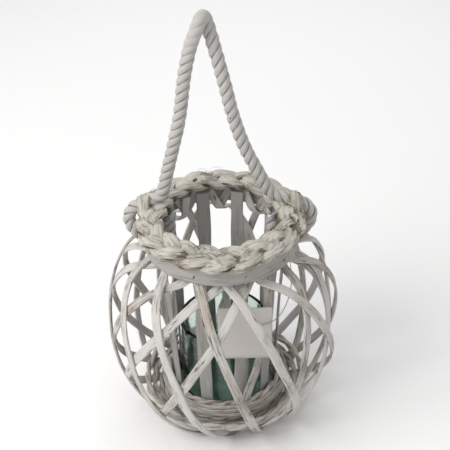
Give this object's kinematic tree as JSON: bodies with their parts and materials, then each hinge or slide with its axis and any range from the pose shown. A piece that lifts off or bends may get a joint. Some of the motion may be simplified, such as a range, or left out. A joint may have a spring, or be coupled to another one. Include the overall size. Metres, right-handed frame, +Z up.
{
  "type": "hanging lantern",
  "caption": "Globe-shaped openwork basket lantern of crossing willow strips round a lift-out glass jar, with a plaited rim and a fold-down rope handle.",
  "frame": {"origin": "middle of the base, on the surface the lantern stands on", "axes": "+Z up, +X to the right and -Y towards the viewer when the rope handle is seen face on"},
  "size_m": [0.2294, 0.2276, 0.4153],
  "materials": {
    "plait": "dry plaited leaf strands with a thin chalky wash",
    "hoop": "split willow hoop, whitewashed, matt",
    "nail": "small dull nails",
    "slat": "flat willow slats, whitewashed, matt",
    "strip": "split willow strips, whitewashed with dark flecks, matt",
    "floor": "thin ply, whitewashed",
    "weaver": "willow rods wound flat, whitewashed",
    "jar": "thick blue-green recycled glass",
    "rope": "three-strand cotton rope, off-white",
    "wire": "bright galvanised binding wire",
    "tag": "blank white card",
    "string": "thin ivory cotton thread"
  },
  "bodies": {
    "basket": {"base_floor": "floor", "base_hoop": "hoop", "base_weaver_1": "weaver", "base_weaver_2": "weaver", "base_weaver_3": "weaver", "base_weaver_4": "weaver", "base_weaver_5": "weaver", "base_weaver_6": "weaver", "base_weaver_7": "weaver", "cage_slat_01": "slat", "cage_slat_02": "slat", "cage_slat_03": "slat", "cage_slat_04": "slat", "cage_slat_05": "slat", "cage_slat_06": "slat", "cage_slat_07": "slat", "cage_slat_08": "slat", "cage_slat_09": "slat", "cage_slat_10": "slat", "inner_strip_01": "strip", "inner_strip_02": "strip", "inner_strip_03": "strip", "inner_strip_04": "strip", "inner_strip_05": "strip", "inner_strip_06": "strip", "inner_strip_07": "strip", "inner_strip_08": "strip", "inner_strip_09": "strip", "inner_strip_10": "strip", "inner_strip_11": "strip", "inside_strip": "strip", "outer_strip_01": "strip", "outer_strip_02": "strip", "outer_strip_03": "strip", "outer_strip_04": "strip", "outer_strip_05": "strip", "outer_strip_06": "strip", "outer_strip_07": "strip", "outer_strip_08": "strip", "outer_strip_09": "strip", "outer_strip_10": "strip", "outer_strip_11": "strip", "rim_band": "hoop", "rim_nails": "nail", "rim_plait": "plait", "rope_eye_left": "rope", "rope_eye_right": "rope", "upright_strip_01": "strip", "upright_strip_02": "strip", "wire_binding_left": "wire", "wire_binding_right": "wire"},
    "handle": {"rope_handle": "rope"},
    "jar": {"glass_jar": "jar"},
    "tag": {"tag_card": "tag", "tag_string": "string"}
  },
  "joints": [
    {"name": "handle_fold", "type": "hinge", "parent": "basket", "child": "handle", "pos_m": [0, 0.02, 0.23315], "axis": [1, 0, 0], "range_deg": [-90, 90]},
    {"name": "jar_lift", "type": "slide", "parent": "basket", "child": "jar", "axis": [0, 0, 1], "range_m": [0, 0.122]},
    {"name": "tag_swing", "type": "hinge", "parent": "basket", "child": "tag", "pos_m": [0.06, -0.0512, 0.21389], "axis": [1, 0, 0], "range_deg": [-6, 3]}
  ]
}
